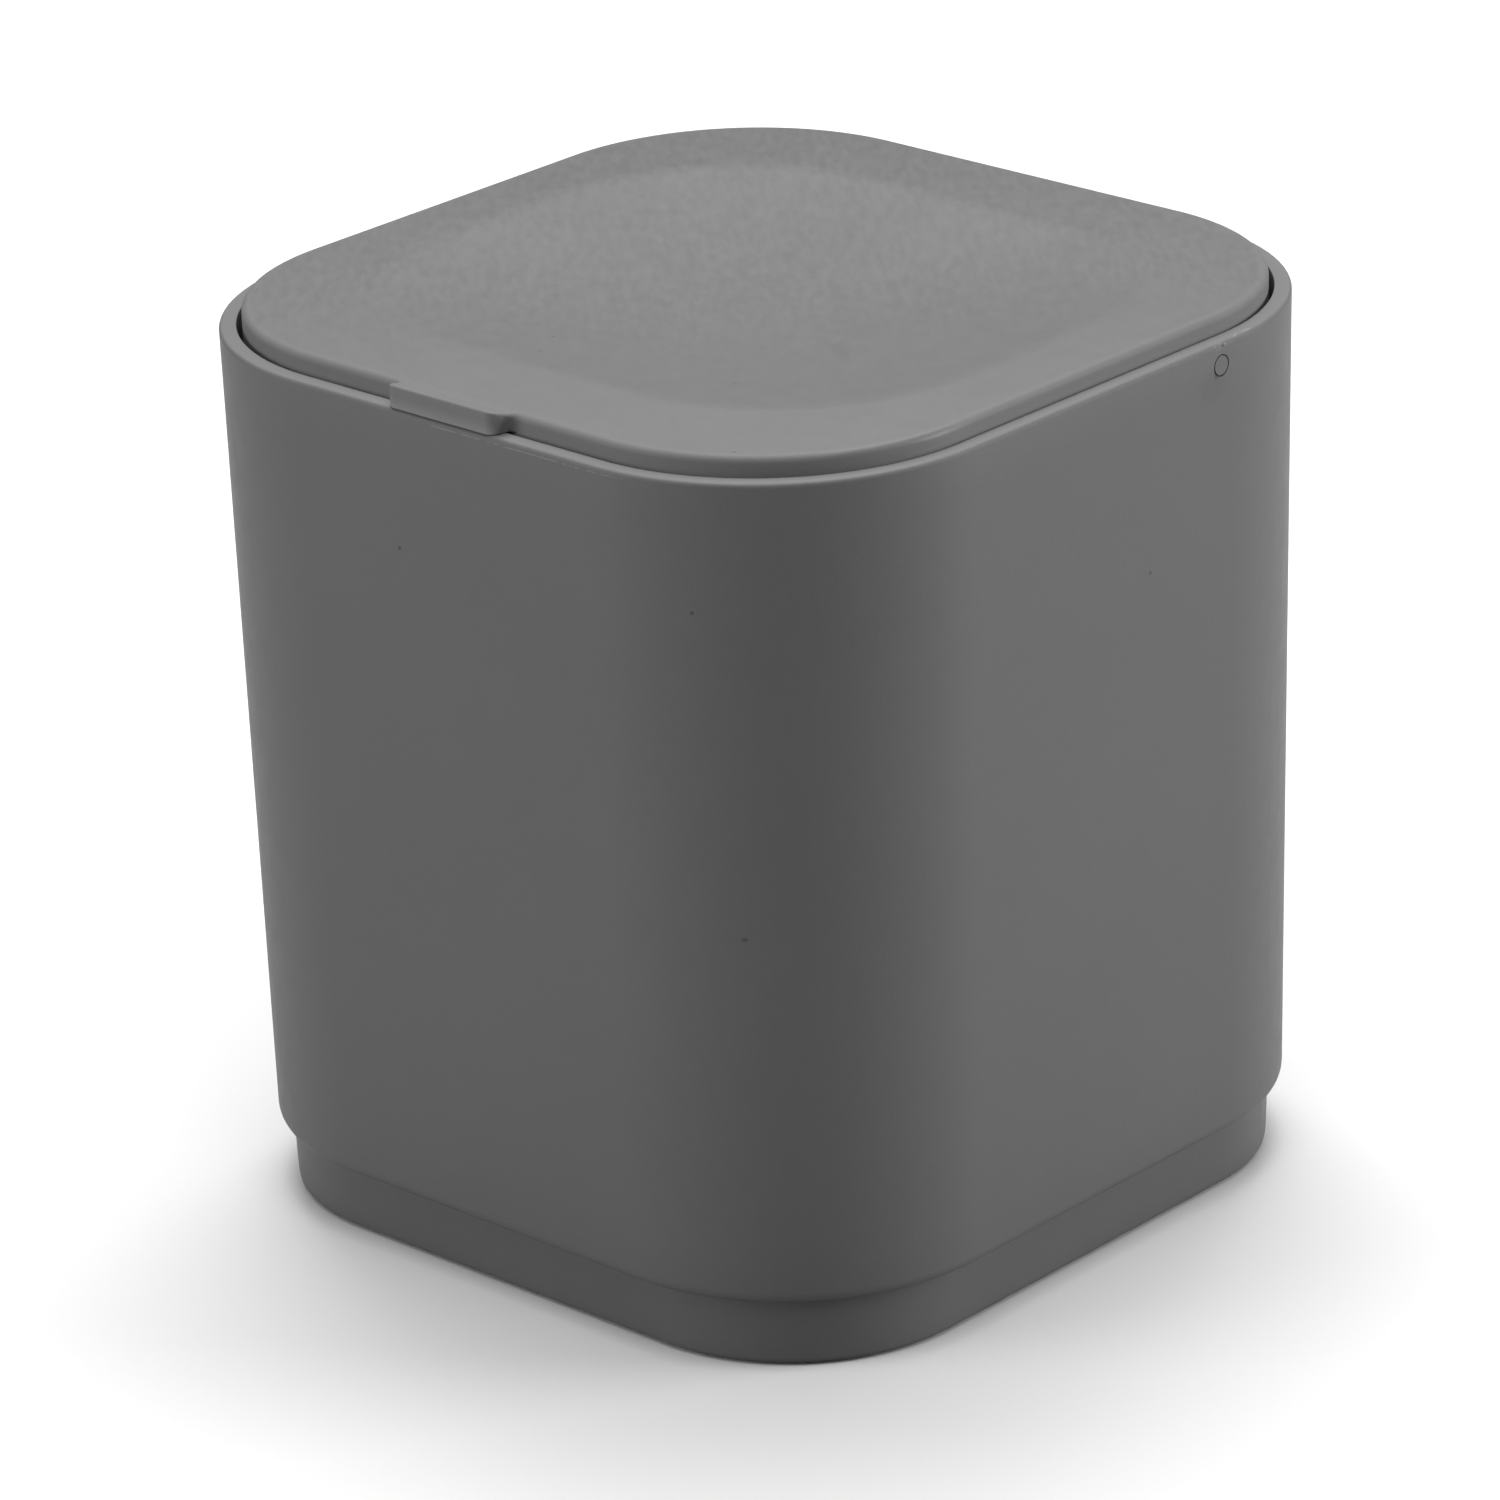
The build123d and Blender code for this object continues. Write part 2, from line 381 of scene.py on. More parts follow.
# Sizes are in millimetres, turns in degrees. Every other plastic here starts from this one.
plasticLook = {
    "tone": 0.0642, "roughness": 0.5, "specular": 0.13, "bumpDepth": 0.03, "fineDetail": 3.0,
    "grainSize": 0.42, "grainTone": 0.16, "grainRough": 0.1, "grainHeight": 0.6,
    "mottleSize": 5.0, "mottleTone": 0.05, "mottleRough": 0.12, "mottleHeight": 0.5,
    "cloudSize": 34.0, "cloudTone": 0.06,
    "flowSize": 2.0, "flowStretch": (1, 1, 3), "flowTurn": 0.0, "flowTone": 0.04, "flowRough": 0.1,
    "flowHeight": 0.2, "flowEnds": None, "flowFade": 0.75,
    "speckSpacing": 16.0, "speckSize": 0.5, "speckShare": 0.06,
    "darkTone": 0.3, "darkMix": 0.75, "darkDepth": 0.6,
    "paleTone": 2.2, "paleMix": 0.35, "paleHeight": 0.4, "paleScale": 0.7, "paleShare": 0.5,
}

# Body shell

body = {
    "corner": 42.0, "draft": 0.92, "wall": 2.9, "floor": 3.0, "rimRound": 0.8, "leadIn": 0.15,
    "lowerRound": 2.3, "cavityRound": 4.0, "wallRings": 22, "perSide": 28, "perCorner": 26,
    "closing": (0.85, 0.7, 0.5, 0.3, 0.12),
    "spigotInset": 10.1, "spigotWall": 2.0, "spigotEdge": 0.2, "spigotFloor": 2.0,
    "ribWidth": 3.0, "ribInside": 67.8, "ribFace": 21.02, "ribFoot": 1.0, "ribTop": 137.0,
    "ribCorner": 0.6, "ribCornerLoss": 0.8, "ribTopRound": 0.5, "ribRings": 14,
    "pinRadius": 1.75, "holeEdge": 0.09, "holeDepth": 5.0,
    "holeSteps": ((6, 0), (5, 1), (1, 1.2), (-1, 2.5)),  # (depth, widening) in hole edges, going outwards
}
hingeSpokes = (np.array([0, 1, 0]), np.array([0, 0, 1]))


def aboutHinge(profile, side, count=64):
    # A profile of (distance out to that side, radius) carried round the hinge's axis
    return revolved(profile, np.array([0, pivotY, pivotZ]), np.array([side, 0, 0]), hingeSpokes, count)


rimHeight = bodyHigh[2]
stepHeight = plinthHigh[2]
bodyHalf = (bodyHigh[0] - bodyLow[0]) / 2 + body["rimRound"] * math.tan(math.radians(body["draft"]))


def wallInset(height):
    # How far the drafted wall has closed in below the rim
    return (rimHeight - height) * math.tan(math.radians(body["draft"]))


def bodyProfile():
    # (inset from the rim outline, height), from under the base, up the outside, over the rim and down inside
    wall, rimRound, leadIn, lowerRound, cavityRound, edge = (
        body[key] for key in ("wall", "rimRound", "leadIn", "lowerRound", "cavityRound", "spigotEdge"))
    low, cavityLow = stepHeight, stepHeight + body["floor"] + cavityRound
    lowCentre = (wallInset(low + lowerRound) + lowerRound, low + lowerRound)
    cavityCentre = (wall + wallInset(cavityLow) + cavityRound, cavityLow)
    outerHeights = np.linspace(lowCentre[1], rimHeight - rimRound, body["wallRings"])[1:-1]
    innerHeights = np.linspace(rimHeight - leadIn, cavityLow, body["wallRings"])[1:-1]
    spigotOut, spigotFoot = body["spigotInset"], bodyLow[2]
    spigotIn = spigotOut + body["spigotWall"]
    return np.concatenate([
        [(spigotIn + body["spigotFloor"], low), (spigotIn + edge, low)],
        [(spigotIn, spigotFoot + edge), (spigotIn + edge, spigotFoot)],
        [(spigotOut - edge, spigotFoot), (spigotOut, spigotFoot + edge), (spigotOut, low)],
        arc(lowCentre, lowerRound, 270, 180, 9),
        np.stack([wallInset(outerHeights), outerHeights], axis=1),
        arc((rimRound, rimHeight - rimRound), rimRound, 180, 90, 7),
        arc((wall - leadIn, rimHeight - leadIn), leadIn, 90, 0, 5),
        np.stack([wall + wallInset(innerHeights), innerHeights], axis=1),
        arc(cavityCentre, cavityRound, 180, 270, 8),
    ])


def bodyRings():
    profile = bodyProfile()
    base = evenBase(body["perSide"], body["perCorner"])
    half = bodyHalf - profile[:, 0]
    corner = body["corner"] - profile[:, 0]
    stack = ringStack(base, half, half, corner, profile[:, 1])
    closing = body["closing"]
    return np.concatenate([drawnIn(stack[0], closing[::-1]), stack, drawnIn(stack[-1], closing)])


def pinCutter(side):
    # A cylinder through the wall, a little wider near the outside
    radius, edge = body["pinRadius"], body["holeEdge"]
    face = bodyHalf - wallInset(pivotZ)
    steps = [(face - depth * edge, radius + wider * edge) for depth, wider in body["holeSteps"]]
    return aboutHinge(np.array([(face - body["holeDepth"], radius)] + steps), side)


def stopRib(side):
    # A bar that follows the drafted side wall, rounded in plan and at its top
    width, corner, top = body["ribWidth"], body["ribCorner"], body["ribTopRound"]
    inside, rings = body["ribInside"], body["ribRings"]
    turn = np.radians([0, 30, 60, 90])
    straight = np.linspace(stepHeight + body["ribFoot"], body["ribTop"] - top, rings)[:-1]
    heights = np.concatenate([straight, body["ribTop"] - top + top * np.sin(turn)])
    inset = np.concatenate([np.zeros(rings - 1), top * (1 - np.cos(turn))])
    outside = bodyHalf - body["wall"] / 2 - wallInset(heights)
    stack = ringStack(evenBase(3, 6), (outside - inside) / 2 - inset, width / 2 - inset,
                      corner - body["ribCornerLoss"] * inset, heights)
    stack[:, :, 0] += side * ((outside + inside) / 2)[:, None]
    stack[:, :, 1] += body["ribFace"] - width / 2
    return poledSurface(stack)


# Marks on the body as (centre, reach, turn, strength): specks in the walls, painted shadow in the pin's ring
# and painted shade round the pin, and what wear left above the pin
wallSpecksAndPinShade = [
    ((-10.7, -74.6, 131.0), (0.45, 1, 0.45), 0, 0.7), ((49.8, -71.1, 133.1), (0.4, 1, 0.4), 0, 0.6),
    ((55.1, -67.2, 77.6), (0.6, 1, 0.4), 0, 0.5), ((74.45, 11.1, 120.5), (1, 0.4, 0.4), 0, 0.6),
    ((72.75, -20.6, 133.2), (2.5, 0.35, 0.35), 0, 0.5), ((74.9, 44.7, 154.9), (1, 0.3, 0.25), 0, 0.8),
    # The last of these specks is painted shadow: a dark crescent in the lower left of the pin's ring
    ((74.8, 29.6, 154.3), (0.6, 0.35, 0.28), 0, 0.8), ((74.9, 27.9, 149.6), (1.0, 0.7, 0.9), 0, 0.45),
]
wallFlecks = [
    ((74.9, 30.3, 154.5), (0.6, 0.3, 0.2), 0, 0.4), ((74.2, 36.6, 155.0), (0.16, 1.5, 0.3), 0, 0.4),
    ((74.3, 33.6, 154.9), (0.14, 1.1, 0.3), 25, 0.35),
]
rimSmudge = ((74.8, 28.6, 154.4), (1.0, 1.8, 0.8), 0, 0.6)
# Painted shade: the wall round the pin is painted darker, like a sink in shade
pinPaintedShade = ((74.9, 27.3, 148.2), (2.0, 4.6, 3.6), 0, 0.35)
bodyMarksAndPaintedLight = {
    # The rim's tone here is painted light, the line's tone a painted highlight and the sink's tone painted
    # shade
    "rimDulling": 0.15, "rimDulled": (1.0, 0.2), "paintedRimTone": 0.3, "paintedRimZone": (0.35, 0.02),
    "lineDrop": 1.05, "lineHalf": 0.1, "lineFront": (-70, -60), "lineStart": (-6, 2), "lineEnd": (30, 46),
    "lineBreaks": 1.6, "lineGaps": (0.38, 0.5), "lineHighlightTone": 2.0, "lineHighlightMix": 0.5, "lineHeight": 0.8,
    "chalkSize": 0.7, "chalkGaps": (0.42, 0.6), "smudgeTone": 1.7, "smudgeRough": 0.15, "smudgeDepth": 0.8,
    "pinShadeTone": 0.8, "speckTone": 0.2, "speckDepth": 1.5, "fleckTone": 3.0,
}


def nearRim(finish, zone):
    # Rises from 0 to 1 between two distances under the rim
    start, end = zone
    return (finish.z / mm).rise(rimHeight - start, rimHeight - end)


def rimMarksAndPaintedLight(finish, colour, roughness, height):
    # The rim is rubbed dull, a fine moulding line with a painted highlight runs under its front edge, it is
    # nicked over the pin, and painted shade darkens the wall round the pin
    x, y, z = finish.x / mm, finish.y / mm, finish.z / mm
    marks, tone = bodyMarksAndPaintedLight, plasticLook["tone"]
    fromLine = abs(z - (rimHeight - marks["lineDrop"]))
    line = 1 - fromLine.rise(marks["lineHalf"] * 0.5, marks["lineHalf"] * 1.5)
    broken = finish.noise(marks["lineBreaks"]).rise(*marks["lineGaps"])
    line = line * (1 - y.rise(*marks["lineFront"])) * x.rise(*marks["lineStart"]) * broken
    line = line * (1 - x.rise(*marks["lineEnd"]))
    chalky = finish.noise(marks["chalkSize"], plasticLook["fineDetail"]).rise(*marks["chalkGaps"])
    smudge = finish.spots([rimSmudge]) * chalky
    specks, flecks, sink = finish.spots(wallSpecksAndPinShade), finish.spots(wallFlecks), finish.spots([pinPaintedShade])
    # Painted shade round the pin
    colour = finish.mix(sink, colour, grey(tone * marks["pinShadeTone"]))
    colour = finish.mix(smudge, colour, grey(tone * marks["smudgeTone"]))
    # The moulding line is a ridge in the bump; its lighter colour is a painted highlight
    colour = finish.mix(line * marks["lineHighlightMix"], colour, grey(tone * marks["lineHighlightTone"]))
    # These specks include a painted shadow in the pin's ring
    colour = finish.mix(specks, colour, grey(tone * marks["speckTone"]))
    colour = finish.mix(flecks, colour, grey(tone * marks["fleckTone"]))
    dulled = nearRim(finish, marks["rimDulled"])
    roughness = roughness + dulled * marks["rimDulling"] + smudge * marks["smudgeRough"]
    height = height - specks * marks["speckDepth"] - smudge * marks["smudgeDepth"]
    return colour, roughness, height + line * marks["lineHeight"]


def rimPaintedLight(finish):
    # Painted light: the rim's flat is painted lighter than the walls
    return nearRim(finish, bodyMarksAndPaintedLight["paintedRimZone"]) * bodyMarksAndPaintedLight["paintedRimTone"]


bodyPlastic = mouldedPlastic("body plastic", plasticLook, rimMarksAndPaintedLight, rimPaintedLight)
bodyPiece = meshObject("binBody", *poledSurface(bodyRings()))
drilled(bodyPiece, [pinCutter(-1), pinCutter(1)])
addIslands(bodyPiece, [stopRib(-1), stopRib(1)])
finishPiece(bodyPiece, "bin", "body_shell", bodyPlastic)

# Base plinth

plinth = {
    "corner": 33.9, "draft": 2.0, "wall": 2.2, "floor": 2.8, "bottomRound": 1.2, "topEdge": 0.25,
    "perSide": 28, "perCorner": 26, "underReach": 12.0, "floorReach": 8.0, "closing": (0.7, 0.4, 0.15),
    "footClearance": 0.1, "recessStart": -3.0, "mottleTone": 0.08,
}


def plinthRings():
    # A pan: up the outside, over the top edge, down the inside and across its floor
    lean = math.tan(math.radians(plinth["draft"]))
    low, high, floorTop = plinthLow[2], plinthHigh[2], plinthLow[2] + plinth["floor"]
    wall, rounded, edge = plinth["wall"], plinth["bottomRound"], plinth["topEdge"]
    lowCentre = ((high - low) * lean + rounded, low + rounded)
    outer = np.linspace(low + rounded, high - edge, 6)[1:]
    inner = np.linspace(high - edge, floorTop, 5)
    profile = np.concatenate([
        [(lowCentre[0] + plinth["underReach"], low)],
        arc(lowCentre, rounded, 270, 180, 7),
        np.stack([(high - outer) * lean, outer], axis=1),
        [(edge, high), (wall - edge, high)],
        np.stack([wall + (high - inner) * lean, inner], axis=1),
        [(wall + plinth["floorReach"], floorTop)],
    ])
    inset, heights = profile.T
    stack = ringStack(evenBase(plinth["perSide"], plinth["perCorner"]), plinthHigh[0] - inset,
                      plinthHigh[1] - inset, plinth["corner"] - inset, heights)
    closing = plinth["closing"]
    return np.concatenate([drawnIn(stack[0], closing[::-1]), stack, drawnIn(stack[-1], closing)])


footNames = ["foot_front_left", "foot_front_right", "foot_rear_left", "foot_rear_right"]
upright = np.array([0, 0, 1])
flatSpokes = (np.array([1, 0, 0]), np.array([0, 1, 0]))


def footRecess(node):
    low, high = nodeBox(node)
    middle = (low + high) / 2
    radius = (high[0] - low[0]) / 2 + plinth["footClearance"]
    profile = np.array([(plinth["recessStart"], radius), (high[2], radius)])
    return revolved(profile, np.array([middle[0], middle[1], 0]), upright, flatSpokes, 72)


plinthPlastic = mouldedPlastic("plinth plastic", {**plasticLook, "mottleTone": plinth["mottleTone"]})
plinthPiece = meshObject("binPlinth", *poledSurface(plinthRings()))
drilled(plinthPiece, [footRecess(name) for name in footNames])
finishPiece(plinthPiece, "bin", "base_plinth", plinthPlastic)

# Feet

foot = {
    "edge": 0.3, "hollow": 0.15, "hollowShares": (0.55, 0.6), "pole": 0.5,
    "tone": 0.03, "roughness": 0.8, "specular": 0.3, "bumpDepth": 0.05,
    "grainSize": 0.5, "grainDetail": 4.0, "grainRough": 0.2,
    "dustSize": 6.0, "dustDetail": 3.0, "dustGaps": (0.5, 0.75), "dustMix": 0.4, "dustTone": 3,
}


def rubber(name):
    # Dull black rubber with dust in its grain
    finish = Finish(name)
    grain = finish.noise(foot["grainSize"], foot["grainDetail"])
    dust = finish.noise(foot["dustSize"], foot["dustDetail"]).rise(*foot["dustGaps"])
    colour = finish.mix(dust * foot["dustMix"], grey(foot["tone"]), grey(foot["tone"] * foot["dustTone"]))
    roughness = foot["roughness"] + (grain - 0.5) * foot["grainRough"]
    return finish.close(colour, roughness, grain, foot["bumpDepth"], foot["specular"])


def footDisc(node):
    # A disc with a shallow hollow under its middle, from the underside's centre round to the top's
    low, high = nodeBox(node)
    middle = (low + high) / 2
    radius = (high[0] - low[0]) / 2
    edge, hollowTop, pole = foot["edge"], low[2] + foot["hollow"], foot["pole"]
    hollowIn, hollowOut = (radius * share for share in foot["hollowShares"])
    profile = np.concatenate([
        [(hollowTop, pole), (hollowTop, hollowIn), (low[2], hollowOut)],
        np.flip(arc((low[2] + edge, radius - edge), edge, 90, 180, 6), axis=0),
        [(high[2], radius), (high[2], pole)],
    ])
    return revolved(profile, np.array([middle[0], middle[1], 0]), upright, flatSpokes, 64)


footRubber = rubber("foot rubber")
for node in footNames:
    finishPiece(meshObject(pieceName(node), *footDisc(node)), "bin", node, footRubber)

# Hinge pins

pin = {
    "tone": 0.062, "roughness": 0.45, "chamfer": 0.2, "neck": 0.5, "neckStep": 0.05, "slack": 0.06,
    "endEdge": (0.1, 0.03), "endSlack": 1.8, "crown": 0.02, "lean": 0.04, "leanRun": 0.1,
    "poles": (0.4, 0.3),
}


def hingePin(side, node):
    # A turned pin with a slimmer neck at its outer end, which sits off centre in its hole
    low, high = nodeBox(node)
    inner = min(abs(low[0]), abs(high[0]))
    end = bodyHalf - wallInset(pivotZ)
    neck, radius, slack, crown = end - pin["neck"], body["pinRadius"], pin["slack"], end - pin["crown"]
    innerPole, outerPole = pin["poles"]
    edgeIn, edgeOut = pin["endEdge"]
    profile = np.array([
        (inner, innerPole), (inner, radius - pin["chamfer"]), (inner + pin["chamfer"], radius),
        (neck, radius), (neck + pin["neckStep"], radius - slack),
        (end - edgeIn, radius - slack), (end - edgeOut, radius - pin["endSlack"] * slack),
        (crown, radius * 0.5), (crown, outerPole),
    ])
    vertices, faces = aboutHinge(profile, side)
    lift = np.clip((np.abs(vertices[:, 0]) - neck) / pin["leanRun"], 0, 1) * pin["lean"]
    return vertices + lift[:, None] * np.array([0, 1, 1]), faces


pinLook = {**plasticLook, "tone": pin["tone"], "roughness": pin["roughness"]}
pinPlastic = mouldedPlastic("pin plastic", pinLook)
for side, node in ((-1, "hinge_pin_left"), (1, "hinge_pin_right")):
    finishPiece(meshObject(pieceName(node), *hingePin(side, node)), "bin", node, pinPlastic)

# Lid

lid = {
    "halfWidth": 71.6, "corner": 39.0, "aboveRim": 3.1, "plate": 2.2, "skirtWall": 2.0, "edgeRound": 1.2,
    "edgeFlat": 0.2, "skirtEdge": 0.4, "innerRound": 0.5, "perSide": 30, "perCorner": 30,
    "dishHalf": (59.2, 53.2), "dishCorner": 38.0, "dishDepth": 4.0, "dishLip": 0.07,
    "tabWidth": 24.0, "noseRadius": 2.0, "sideFlat": 0.2, "tabLevel": 0.4, "tabRise": 0.9, "lipRound": 0.45,
    "tabSpread": 0.6, "tabEdge": 0.06, "restGap": 0.12, "noseLevels": (0.35, 0.7, 1.0),
    "dishRings": ((0.04, 0.8, 20), (0.815, 1, 22)),  # (first share, last share, count), closer at the lip
}
boss = {
    "radius": 5.2, "inside": 62.7, "edge": 0.5, "sink": 1.0, "bore": 1.8, "boreEnd": 63.7,
    "poles": (0.6, 0.4), "collar": 2.65, "collarEnd": 71.75, "collarEdge": 0.15,
    "skirtHole": 2.2, "holeSpan": (4, 1),
}
lidTop = rimHeight + lid["aboveRim"]
lidHalfY = lidHigh[1]
tabFront = -lidLow[1]
tabReach = tabFront - lidHalfY
rootRadius = tabReach - lid["noseRadius"] - lid["sideFlat"]


def tabHalf(inset, counts):
    # Right half of the tab's outline, from its middle to the end of the hollow root, moved in by an inset:
    # a straight front, a nose quarter circle, a short side and a root quarter circle that curves outwards
    half, nose = lid["tabWidth"] / 2, lid["noseRadius"]
    front, noseCount, rootCount = counts
    flatX = np.linspace(0, half - nose, front, endpoint=False)
    turn = np.radians(np.linspace(-90, 0, noseCount))
    swing = np.radians(np.linspace(180, 90, rootCount))
    x = np.concatenate([flatX, half - nose + (nose - inset) * np.cos(turn),
                        half + rootRadius + (rootRadius + inset) * np.cos(swing)])
    y = np.concatenate([np.full(front, -tabFront + inset), -tabFront + nose + (nose - inset) * np.sin(turn),
                        -lidHalfY - rootRadius + (rootRadius + inset) * np.sin(swing)])
    return np.stack([x, y], axis=1)


# The tab's points, and where they would lie on the lid's plain outline. The points of its front and noses
# are drawn together there, so that the faces between the two outlines don't fold at the roots.
tabCounts = (14, 14, 14)
tabOutline = tabHalf(0.0, tabCounts)
noseX = lid["tabWidth"] / 2
tabRun = np.concatenate([[0], np.cumsum(np.linalg.norm(np.diff(tabOutline, axis=0), axis=1))])
straightHalf = lid["halfWidth"] - lid["corner"]
noseEnd = tabCounts[0] + tabCounts[1] - 1
tabPlainX = np.interp(tabRun, [0, tabRun[noseEnd], tabRun[-1]],
                      [0, lid["tabSpread"] * noseX, tabOutline[-1, 0]])
sideX = np.linspace(tabOutline[-1, 0], straightHalf, 10)[1:]
frontX = np.concatenate([-sideX[::-1], -tabPlainX[::-1], tabPlainX[1:], sideX[:-1]])
tabSlice = slice(len(sideX), len(sideX) + 2 * len(tabPlainX) - 1)
lidBase = ringBase(frontX / straightHalf, lid["perSide"], lid["perCorner"])
lipShare = np.concatenate([np.ones(tabCounts[0] + tabCounts[1]), np.linspace(1, 0, tabCounts[2])])
lipShare = lipShare * lipShare * (3 - 2 * lipShare)
tabShare = np.zeros(len(lidBase[0]))
tabShare[tabSlice] = np.concatenate([lipShare[::-1], lipShare[1:]])


def plainRing(inset, height):
    inset = np.atleast_1d(np.asarray(inset, float))
    height = np.atleast_1d(np.asarray(height, float)) * np.ones(len(inset))
    return ringStack(lidBase, lid["halfWidth"] - inset, lidHalfY - inset, lid["corner"] - inset, height)


def slopeHeight(y):
    # The lid's plane, climbing over the tab to its front lip
    start = -lidHalfY - lid["tabLevel"]
    climb = np.clip((start - y) / (tabFront - lidHalfY - lid["tabLevel"]), 0, 1)
    return lidTop + lid["tabRise"] * climb


def tabRing(inset, drop):
    # The lid's outline with the tab, moved in by an inset for each point, and dropped below its top
    ring = plainRing(0.0, lidTop)[0]
    shares, directions = lidBase
    ring[:, :2] -= inset[:, None] * directions
    grid = np.stack([tabHalf(value, tabCounts) for value in (0.0, 1.0)])
    insetHalf = inset[tabSlice][len(tabPlainX) - 1:]
    halfRing = grid[0] + (grid[1] - grid[0]) * insetHalf[:, None]
    mirrored = halfRing[::-1] * np.array([-1, 1])
    ring[tabSlice, :2] = np.concatenate([mirrored, halfRing[1:]])
    ring[:, 2] = slopeHeight(ring[:, 1]) - drop
    return ring


dishSteps = 2001


def dishFall(share):
    # 0 at the dish's edge and 1 in its middle. The slope grows with the share, as in a bowl, and eases out
    # over the lip; the fall is that slope added up from the edge inwards.
    fine = np.linspace(0, 1, dishSteps)
    ease = np.clip((1 - fine) / lid["dishLip"], 0, 1)
    slope = fine * ease * ease * (3 - 2 * ease)
    climb = np.cumsum(slope)
    return 1 - np.interp(share, fine, climb / climb[-1])


def dishRings(drop, shares):
    halfX, halfY = lid["dishHalf"]
    height = lidTop - drop - lid["dishDepth"] * dishFall(shares)
    return ringStack(lidBase, halfX * shares, halfY * shares, lid["dishCorner"] * shares, height)


def borderRings(drop, insetEnd, count):
    # The flat between the dish and the edge
    share = np.linspace(0, 1, count + 1)[1:]
    halfX = lid["dishHalf"][0] + (lid["halfWidth"] - insetEnd - lid["dishHalf"][0]) * share
    halfY = lid["dishHalf"][1] + (lidHalfY - insetEnd - lid["dishHalf"][1]) * share
    corner = lid["dishCorner"] + (lid["corner"] - insetEnd - lid["dishCorner"]) * share
    return ringStack(lidBase, halfX, halfY, corner, np.full(count, lidTop - drop))


def lidRings():
    # From the middle of the dish over the edge, down the skirt and back under the plate
    shares = np.concatenate([np.linspace(*part) for part in lid["dishRings"]])
    edge = lid["edgeRound"] + (lid["lipRound"] - lid["edgeRound"]) * tabShare
    flatEnd = lid["edgeRound"] + lid["edgeFlat"]
    top = [dishRings(0, shares), borderRings(0, flatEnd, 8)]
    inside = top[1][-1]
    rim = tabRing(edge, 0 * edge)
    crease = (flatEnd + lid["tabLevel"]) / (flatEnd + tabReach - lid["lipRound"])
    steps = np.concatenate([[crease * 0.5, crease], np.linspace(crease, 1, 6)[1:]])
    between = inside[None] + (rim - inside)[None] * steps[:, None, None]
    between[:, :, 2] = slopeHeight(between[:, :, 1])
    turn = np.radians(np.linspace(0, 90, 8)[1:])
    rounded = [tabRing(edge * (1 - np.sin(angle)), edge * (1 - np.cos(angle))) for angle in turn]
    restZ = rimHeight + lid["restGap"]
    face = rounded[-1]
    levels = []
    for share in lid["noseLevels"]:
        ring = face.copy()
        ring[:, 2] = face[:, 2] + (restZ + lid["tabEdge"] - face[:, 2]) * share
        levels.append(ring)
    under = tabRing(np.full(len(tabShare), lid["tabEdge"]) * tabShare, 0 * edge)
    under[:, 2] = restZ
    wall, skirtEdge, innerRound = lid["skirtWall"], lid["skirtEdge"], lid["innerRound"]
    skirtLow, innerTop = lidLow[2] + skirtEdge, lidTop - lid["plate"] - innerRound
    skirtHeights = np.concatenate([[restZ - 0.1], np.linspace(restZ - 1, skirtLow, 6)])
    skirt = plainRing(np.zeros(len(skirtHeights)), skirtHeights)
    skirt[0, tabSlice, 2] = restZ
    innerHeights = np.linspace(lidLow[2] + 1, innerTop, 5)
    turned = np.concatenate([
        arc((skirtEdge, skirtLow), skirtEdge, 180, 270, 4)[1:],
        arc((wall - skirtEdge, skirtLow), skirtEdge, 270, 360, 4),
        np.stack([np.full(len(innerHeights), wall), innerHeights], axis=1),
        arc((wall + innerRound, innerTop), innerRound, 180, 90, 4),
    ])
    lower = plainRing(turned[:, 0], turned[:, 1])
    plateUnder = borderRings(lid["plate"], wall + innerRound, 6)[::-1][1:]
    return np.concatenate([*top, between, np.stack(rounded), np.stack(levels), under[None], skirt, lower,
                           plateUnder, dishRings(lid["plate"], shares)[::-1]])


def bossShape(side):
    # A boss inside the skirt, a collar outside it and the blind bore through both, round the hinge axis
    inside, radius, edge, collar, collarEdge = (
        boss[key] for key in ("inside", "radius", "edge", "collar", "collarEdge"))
    sunk, end, (bossPole, borePole) = lid["halfWidth"] - boss["sink"], boss["collarEnd"], boss["poles"]
    profile = np.array([
        (inside, bossPole), (inside, radius - edge), (inside + edge, radius), (sunk, radius), (sunk, collar),
        (end - collarEdge, collar), (end, collar - collarEdge), (end, boss["bore"]),
        (boss["boreEnd"], boss["bore"]), (boss["boreEnd"], borePole),
    ])
    return aboutHinge(profile, side)


def skirtHole(side):
    # Opens the skirt's wall for the pin
    outside, radius, (behind, ahead) = lid["halfWidth"], boss["skirtHole"], boss["holeSpan"]
    return aboutHinge(np.array([(outside - behind, radius), (outside + ahead, radius)]), side, 48)


# Marks in the lid as (centre, reach, turn, strength): dark specks, a faint long dark patch along the flow,
# and where its edge is polished
lidSpecks = [
    ((-11.5, -36.35, 157.0), (0.45, 0.45, 2), 0, 0.6), ((-6.4, -44.8, 157.5), (0.4, 0.4, 2), 0, 0.6),
    ((52.5, -63.1, 158.0), (0.4, 0.4, 2), 0, 0.6), ((28.25, -36.1, 156.0), (0.4, 0.4, 2), 0, 0.5),
]
lidPatch = ((28.5, -11.1, 155.0), (6.5, 1.9, 4), -45, 0.35)
lidPolish = ((66.5, -42.0, 157.5), (9, 18, 4), 0, 0.3)
lidLook = {
    **plasticLook, "tone": 0.0756, "roughness": 0.45, "grainTone": 0.08, "mottleTone": 0.03,
    "flowSize": 1.4, "flowStretch": (3.2, 1, 1), "flowTurn": -45.0, "flowTone": 0.28, "flowHeight": 0.5,
    # The border's drift and the skirt's tone are painted light in the lid's tone
    "flowEnds": (-10.0, 40.0), "paintedBorderLight": 0.00078, "borderBlend": 0.6,
    "paintedSkirtLight": 0.42, "skirtFrom": 0.5, "skirtTo": 0.4, "edgeDulling": 0.2, "edgeDulled": (0.9, 1.8),
    "edgePolished": (0.4, 1.0), "patchTone": 0.8, "speckTone": 0.3, "speckDepth": 1.2,
}


